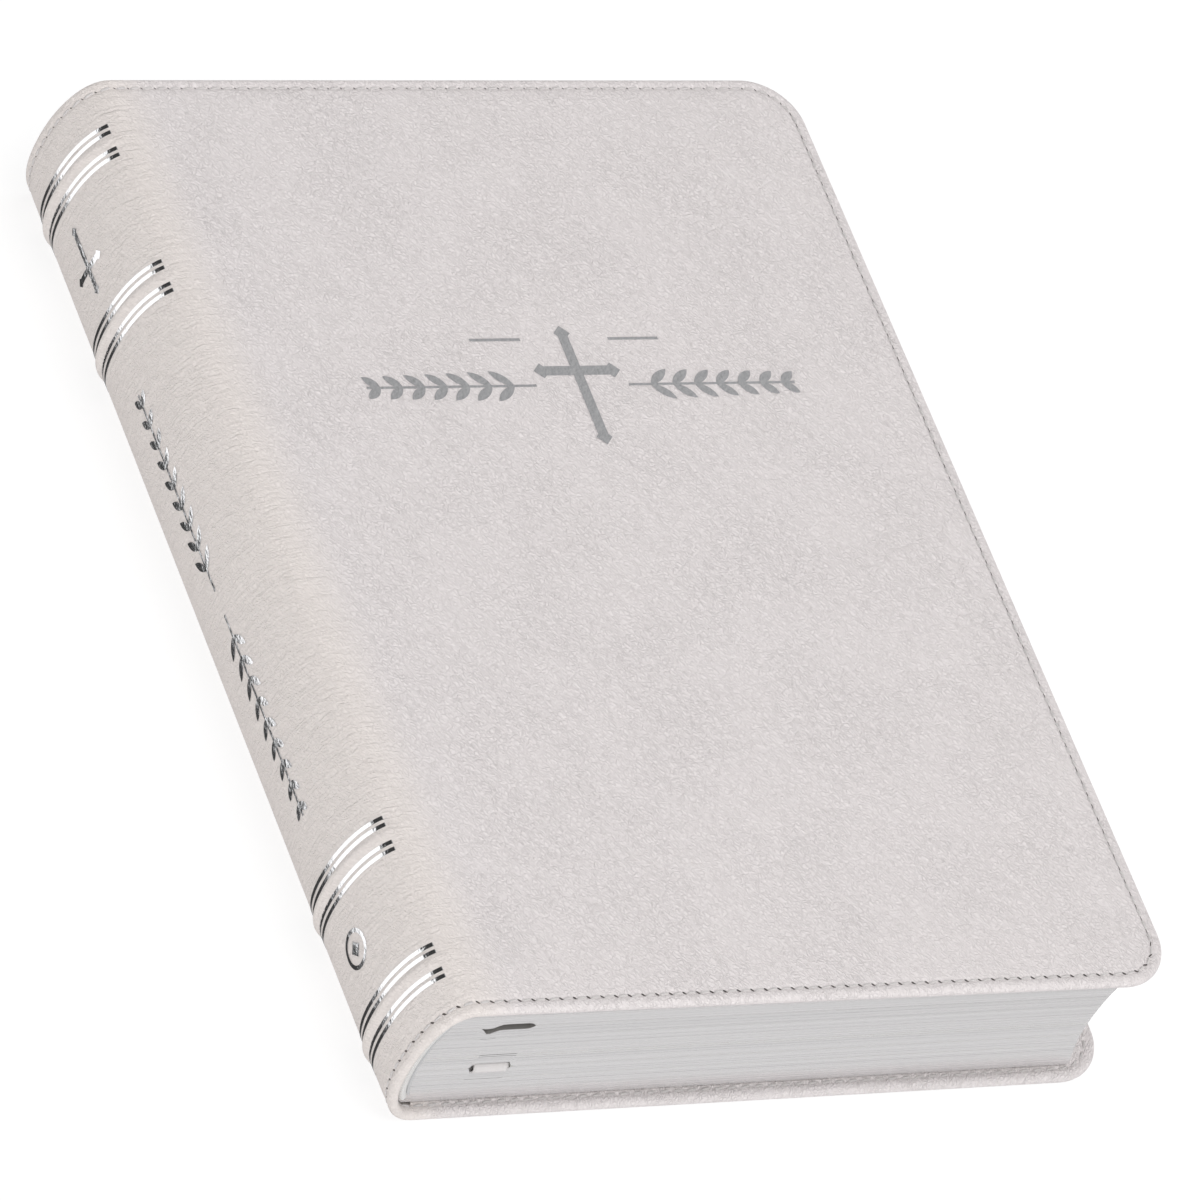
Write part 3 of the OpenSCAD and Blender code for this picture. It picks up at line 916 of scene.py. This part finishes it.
def upper_height(fraction):
    base = MID_Z + HALF_SPLIT
    return lambda x: base + (BOOK_T - slope_z(x) - PAGE_Z - base) * fraction


def level_at(z):
    return lambda x: z


# where the pages part at the tail: surface, ends in x, opening, run-out at each end, dip at the left
PARTINGS = [
    (lower_height(3 / 4), ribbon_lower_low.x - 0.3, ribbon_lower_high.x, 3.0, 0.4, 1.2, 0.0),
    (upper_height(2 / 4), ribbon_upper_low.x - 0.6, ribbon_upper_high.x + 0.4, 1.8, 2.0, 1.5, 1.3),
]


FLYLEAF_INSET = 1.8


def build_flyleaves():
    """The first and last leaf, cut a little smaller, so that a dark line shows under the pages."""
    lowest, highest = box_mm("back_flyleaf")
    back = page_stack("back_fly_sheet", level_at(lowest.z), level_at(highest.z), 1, 71,
                      FLYLEAF_INSET, "endpaper")
    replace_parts(back, "back_flyleaf")
    front = page_stack("front_fly_sheet", lambda x: BOOK_T - slope_z(x) - highest.z,
                       lambda x: BOOK_T - slope_z(x) - lowest.z, 1, 72, FLYLEAF_INSET,
                       "endpaper")
    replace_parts(front, "front_flyleaf")


def build_pages():
    """Four section groups in each half, and three groups of leaves on each side."""
    for i in range(4):
        for label, height, body, upper, seed in (("lower", lower_height, "back_half", False, 11),
                                                 ("upper", upper_height, "front_half", True, 31)):
            pages = page_stack(f"pages_{label}_{i + 1}", height(i / 4), height((i + 1) / 4 - 0.006),
                               16, seed + i)
            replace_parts(pages, f"{label}_sections_{i + 1}")
    for i in range(3):
        near, far = HALF_SPLIT - i * LEAF_SPACE, HALF_SPLIT - (i + 1) * LEAF_SPACE
        back = page_stack(f"back_leaves_{i + 1}", level_at(MID_Z - near + 0.02), level_at(MID_Z - far),
                          3, 51 + i)
        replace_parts(back, f"back_leaf_{i + 1}")
        front = page_stack(f"front_leaves_{i + 1}", level_at(MID_Z + far), level_at(MID_Z + near - 0.02),
                           3, 61 + i)
        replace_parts(front, f"front_leaf_{i + 1}")


# ---- strips that follow the spine's curve inside


def curved_strip(name, inset_out, inset_in, angle_from, angle_to, half_y, material):
    """A strip between two insets from the outside of the spine and two angles on its curve."""
    angles = steps(angle_from, angle_to, 3)
    section = [(-half_y, inset_out), (half_y, inset_out), (half_y, inset_in), (-half_y, inset_in)]
    points = [curve_place(angle, y, inset) for angle in angles for y, inset in section]
    return make_piece(name, points, tube_faces(len(angles), 4), [material], smooth=False)


def build_spine_inside():
    """The spine's stiff lining, cloth over the back of the pages, and the glued backs of the sections."""
    stiffener = curved_strip("spine_lining", LEATHER_T + 0.04, 1.56, -66, 66, HALF_H - 3, BOARD)
    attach(stiffener, "spine")
    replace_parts(stiffener, "spine_stiffener")
    for label, start, end in (("back", -64, -8), ("front", 8, 64)):
        mull = curved_strip(f"{label}_mull_cloth", 1.9, 2.14, start, end, PAGE_HALF_H - 8, MULL)
        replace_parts(bend_pages(mull), f"{label}_mull")
    backs = curved_strip("glued_section_backs", 1.95, 2.3, -7.6, 7.6, PAGE_HALF_H - 0.4, PAPER)
    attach(backs, "spine")
    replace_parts(backs, "sewn_backs")


def tube(path, radii, sides, faces, points):
    """Adds a closed tube along a path; radii may differ at each point."""
    first = len(points)
    path = [np.array(p, float) for p in path]
    for i, centre in enumerate(path):
        run = heading(path, i)
        guide = np.array([0.0, 1.0, 0.0]) if abs(run[1]) < 0.9 else np.array([0.0, 0.0, 1.0])
        u = np.cross(run, guide)
        u = u / np.linalg.norm(u)
        v = np.cross(run, u)
        for k in range(sides):
            turn = 2 * math.pi * k / sides
            points.append(tuple(centre + radii[i] * (u * math.cos(turn) + v * math.sin(turn))))
    faces += tube_faces(len(path), sides, first)


def build_sewing():
    """Stitches of thread in the fold between the two halves of the pages."""
    points, faces = [], []
    stations = 6
    thread_r = 0.16
    pitch = 2 * PAGE_HALF_H / stations
    for i in range(stations):
        y0 = -PAGE_HALF_H + (i + 0.2) * pitch
        ys = np.linspace(y0, y0 + pitch * 0.6, 14)
        path = [(BACK_X + 0.75 - 0.4 * (k in (0, 13)), y, MID_Z) for k, y in enumerate(ys)]
        tube(path, [thread_r] * len(path), 8, faces, points)
    thread = make_piece("section_sewing_thread", points, faces, [SEWING])
    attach(thread, "spine")
    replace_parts(thread, "sewing_threads")


def build_end_bands():
    """Silk and a bead of cord at each end of the pages, both ribbed by their winding."""
    low, high = box_mm("head_band")
    for side, label in ((1, "head"), (-1, "tail")):
        y = side * (low.y + high.y) / 2
        for suffix, inset, radius, wind, twist, material, slot, node in (
                ("band_silk", 3.3, 0.90, 0.8, 0.09, SILK, "endband_silk", f"{label}_band"),
                ("band_bead", 4.65, 0.36, 0.7, 0.05, CORD, "endband_cord", f"{label}_band_core")):
            path = [curve_place(angle, y, inset) for angle in np.linspace(-58, 58, 340)]
            lengths = distances(path)
            ends = smooth_step(lengths / 1.5) * smooth_step((lengths[-1] - lengths) / 1.5)
            radii = (radius - twist * (1 - np.abs(np.sin(math.pi * lengths / wind)))) * (0.35 + 0.65 * ends)
            points, faces = [], []
            tube(path, radii, 12, faces, points)
            piece = make_piece(f"{label}_{suffix}", points, faces, [material])
            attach(piece, "spine")
            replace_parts(piece, node)


# ---- ribbons


def ribbon_piece(name, x_low, x_high, path, thickness):
    """A flat ribbon swept along a path of (y, z), across x."""
    path = np.array(path, float)
    points = []
    xs = steps(x_low, x_high, 0.8)
    for i, (y, z) in enumerate(path):
        run = heading(path, i)
        out = np.array([-run[1], run[0]]) * thickness / 2
        points += [(x, y + out[0], z + out[1]) for x in xs]
        points += [(x, y - out[0], z - out[1]) for x in xs[::-1]]
    return make_piece(name, points, tube_faces(len(path), 2 * len(xs)), [SATIN])


def build_ribbons():
    """The lower ribbon is folded back on itself at the tail, and the upper one ends inside the pages."""
    z = ribbon_lower_low.z + 0.11
    fold_r = 1.25
    nose_y = -PAGE_HALF_H + 0.55
    sag_length = 25.0
    path = [(y, z - fold_r * smooth_step((nose_y + sag_length - y) / sag_length))
            for y in steps(PAGE_HALF_H - 2, nose_y, 3)]
    centre_z = path[-1][1] + fold_r
    for turn in np.radians(np.linspace(-90, 90, 13)):
        path.append((nose_y - 0.9 * fold_r * math.cos(turn), centre_z + fold_r * math.sin(turn)))
    path += [(y, centre_z + fold_r) for y in steps(nose_y + 0.6, nose_y + 9, 0.8)]
    lower = ribbon_piece("ribbon_marker_lower", ribbon_lower_low.x, ribbon_lower_high.x, path, 0.3)
    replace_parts(bend_pages(lower), "ribbon_lower")
    z = ribbon_upper_low.z + 0.11
    path = [(y, z) for y in steps(PAGE_HALF_H - 2, -PAGE_HALF_H + 5, 3)]
    upper = ribbon_piece("ribbon_marker_upper", ribbon_upper_low.x, ribbon_upper_high.x, path, 0.22)
    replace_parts(bend_pages(upper), "ribbon_upper")


# ---- endpapers across the joints


def endpaper_fold(name, place):
    """The fold of the endpaper, from the pastedown round to the flyleaf."""
    near, far, half_thickness = COVER_T + 0.26, COVER_T + 0.38, 0.03
    out_x, end_x = JOINT_X + 0.9, JOINT_X + HINGE_W + 2.0
    path = [(x, near) for x in steps(end_x, out_x, 0.6)]
    for turn in np.radians(np.linspace(-60, 60, 5)):
        path.append((out_x - 0.25 * math.cos(turn), (near + far) / 2 + (far - near) / 2 * math.sin(turn)))
    path += [(x, far) for x in steps(out_x, end_x, 0.6)]
    path = np.array(path)
    half_y = HALF_H - 8.2
    points = []
    for i, (x, depth) in enumerate(path):
        run = heading(path, i)
        out = np.array([-run[1], run[0]]) * half_thickness
        for y, sign in ((-half_y, 1), (half_y, 1), (half_y, -1), (-half_y, -1)):
            points.append(place(x + out[0] * sign, y, depth + out[1] * sign))
    piece = make_piece(name, points, tube_faces(len(path), 4), [ENDPAPER])
    middle_x = (out_x + end_x) / 2
    start = Vector(place(middle_x, 0, near)) * MM
    end = Vector(place(middle_x, 0, far)) * MM
    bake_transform(piece)


# ---- the whole cover

# between here and a joint the spine's leather bends
BEND_X = JOINT_X - 4.0
# distance along the leather to where it passes BEND_X at the front
front_side = fine_angles > 0
FRONT_BEND = float(np.interp(BEND_X, curve_points[front_side, 0], curve_lengths[front_side]))


def along_x(x, z):
    return (x * MM, 0.0, z * MM)


def bend_back_cover(piece):
    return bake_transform(piece, "back_cover", "back_half", along_x(JOINT_X + HINGE_W, 0), along_x(JOINT_X, 0))


def bend_spine(piece):
    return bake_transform(piece, "back_half", "spine", along_x(JOINT_X, 0), along_x(BEND_X, 0))


def bend_front_joint(piece):
    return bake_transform(piece, "spine", "front_half", along_x(BEND_X, BOOK_T), along_x(JOINT_X, BOOK_T))


def bend_front_cover(piece):
    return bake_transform(piece, "front_half", "front_cover", along_x(JOINT_X, BOOK_T),
                    along_x(JOINT_X + HINGE_W, BOOK_T))


def build_cover():
    """Both covers with board and endpaper, and the leather between them in two pieces."""
    back = bend_back_cover(cover_leather("back_cover_skin", back_map, back_map))
    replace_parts(back, "back_cover_leather", "back_joint_leather")
    front = bend_front_cover(cover_leather("front_cover_skin", front_map, front_pattern))
    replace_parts(front, "front_cover_leather", "front_joint_leather")
    spine = bend_spine(spine_leather("spine_skin", 0.0, FRONT_BEND))
    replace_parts(spine, "spine_leather", "raised_bands")
    bend_front_joint(spine_leather("front_joint_skin", FRONT_BEND, SPINE_LENGTH))
    for label, place, pattern in (("back", back_map, back_map), ("front", front_map, front_pattern)):
        board = cover_board(f"{label}_cover_board", place, pattern)
        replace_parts(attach(board, f"{label}_cover"), f"{label}_board")
        paper = pastedown(f"{label}_pastedown_sheet", place, pattern)
        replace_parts(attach(paper, f"{label}_cover"), f"{label}_pastedown")
        endpaper_fold(f"{label}_endpaper_fold", place)


def build_stitching():
    """One row of stitches round the covers and across both ends of the spine."""
    outline = Slab(JOINT_X, True, [(STITCH_INSET, 0), (STITCH_INSET, 1)]).outline(STITCH_INSET)
    for label, place, pattern, bend in (("back", back_map, back_map, bend_back_cover),
                                        ("front", front_map, front_pattern, bend_front_cover)):
        thread, hole_shade_pieces = sew(f"{label}_cover", outline, place, pattern)
        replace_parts(bend(thread), f"{label}_stitching")
        bend(hole_shade_pieces)
    for side, label in ((-1, "tail"), (1, "head")):
        y = side * (HALF_H - STITCH_INSET)
        # the covers have the holes at the joints
        for part, start, end, end_holes, bend in (
                ("spine", 0.0, FRONT_BEND, (False, False), bend_spine),
                ("front_joint", FRONT_BEND, SPINE_LENGTH, (True, False), bend_front_joint)):
            thread, hole_shade_pieces = sew(f"{part}_{label}", [(start, y), (end, y)], spine_map, spine_pattern,
                                end_holes)
            bend(thread)
            bend(hole_shade_pieces)
            if (part, label) == ("spine", "tail"):
                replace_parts(thread, "spine_stitching")


def dress_nodes():
    """Foil on the CAD nodes that stay."""
    for name in ("spine_foil_lines", "spine_cross", "spine_vine", "spine_ring", "front_cross", "front_vine",
                 "front_rules"):
        node = frame["nodes"][name]
        node.data.materials.clear()
        node.data.materials.append(FOIL)


# ---- floor, light and camera


def build_floor():
    half_size, level = 4.0, -0.0002
    mesh = bpy.data.meshes.new("floor")
    corners = [(-1, -1), (1, -1), (1, 1), (-1, 1)]
    mesh.from_pydata([(half_size * x, half_size * y, level) for x, y in corners], [], [(0, 1, 2, 3)])
    material, tree = new_material("pale_floor")
    tree.shade(Base_Color=(0.28, 0.28, 0.28), Emission_Color=(1, 1, 1), Emission_Strength=0.78,
               Roughness=0.9, Specular_IOR_Level=0.0)
    mesh.materials.append(material)
    floor = bpy.data.objects.new("floor", mesh)
    bpy.context.scene.collection.objects.link(floor)
    # polished foil reflects the studio walls below, not the floor
    floor.visible_glossy = False


def build_world():
    """Studio walls that show only in reflections, the brightest low on the spine's side."""
    world = bpy.data.worlds.new("studio")
    bpy.context.scene.world = world
    tree = Tree(world)
    direction = tree.add("ShaderNodeTexCoord", "Generated")

    def towards(axis, low, high):
        """How far a direction lies towards an axis, as 0 to 1."""
        return tree.ramp(tree.vector_math("DOT_PRODUCT", direction, axis, output="Value"), low, high)

    total = towards((-0.86, 0.5, 0.0), 0.66, 0.76) * towards((0.0, 0.0, -1.0), -0.38, -0.24) * 1.25
    for axis, low, high, level in (((0.0, -1.0, 0.0), 0.1, 0.4, 0.62), ((0.85, 0.1, 0.5), 0.55, 1.0, 0.5),
                                   ((0.6, 0.8, -0.1), 0.5, 0.9, 0.5), ((1.0, 0.0, -0.1), 0.5, 0.9, 0.5)):
        total = tree.larger(total, towards(axis, low, high) * level)
    # behind the book everything is white
    total = tree.larger(total + 0.05, tree.add("ShaderNodeLightPath", "Is Camera Ray"))
    tree.fill(tree.nodes["Background"], {"Color": total, "Strength": 1.0})


def area_light(name, location, size, power):
    """A lamp that lights the book but has no reflection of its own in the foil."""
    target = (0.0, 0.0, 0.02)
    data = bpy.data.lights.new(name, "AREA")
    data.shape = "RECTANGLE"
    data.size, data.size_y = size
    data.energy = power
    light = bpy.data.objects.new(name, data)
    light.location = location
    light.rotation_euler = (Vector(target) - Vector(location)).to_track_quat("-Z", "Y").to_euler()
    light.visible_glossy = False
    bpy.context.scene.collection.objects.link(light)


def build_lights():
    area_light("overhead", (0.15, -0.15, 1.5), (1.6, 1.6), 17.2)
    area_light("front_fill", (-0.75, -1.4, 0.55), (1.3, 0.9), 5.2)


def build_camera():
    """The viewpoint: round the tail and spine, well above the floor, rolled to the left."""
    azimuth, elevation, roll = (math.radians(a) for a in (-44.59, 43.91, 32.44))
    target = Vector((1.51, -5.38, MID_Z)) * MM
    distance = 2.4813
    back = Vector((math.sin(azimuth) * math.cos(elevation), -math.cos(azimuth) * math.cos(elevation),
                   math.sin(elevation)))
    right = Vector((0, 0, 1)).cross(back).normalized()
    up = back.cross(right)
    camera_x = right * math.cos(roll) + up * math.sin(roll)
    camera_y = up * math.cos(roll) - right * math.sin(roll)
    data = bpy.data.cameras.new("camera")
    data.lens = 365.28
    data.sensor_width = 36.0
    data.clip_start, data.clip_end = 0.1, 20.0
    camera = bpy.data.objects.new("camera", data)
    rotation = Matrix((camera_x, camera_y, back)).transposed().to_4x4()
    camera.matrix_world = Matrix.Translation(target + back * distance) @ rotation
    bpy.context.scene.collection.objects.link(camera)
    bpy.context.scene.camera = camera


build_camera()
build_cover()
build_stitching()
build_pages()
build_flyleaves()
build_spine_inside()
build_sewing()
build_end_bands()
build_ribbons()
dress_nodes()
build_floor()
build_world()
build_lights()
bpy.context.scene.view_settings.view_transform = "Standard"
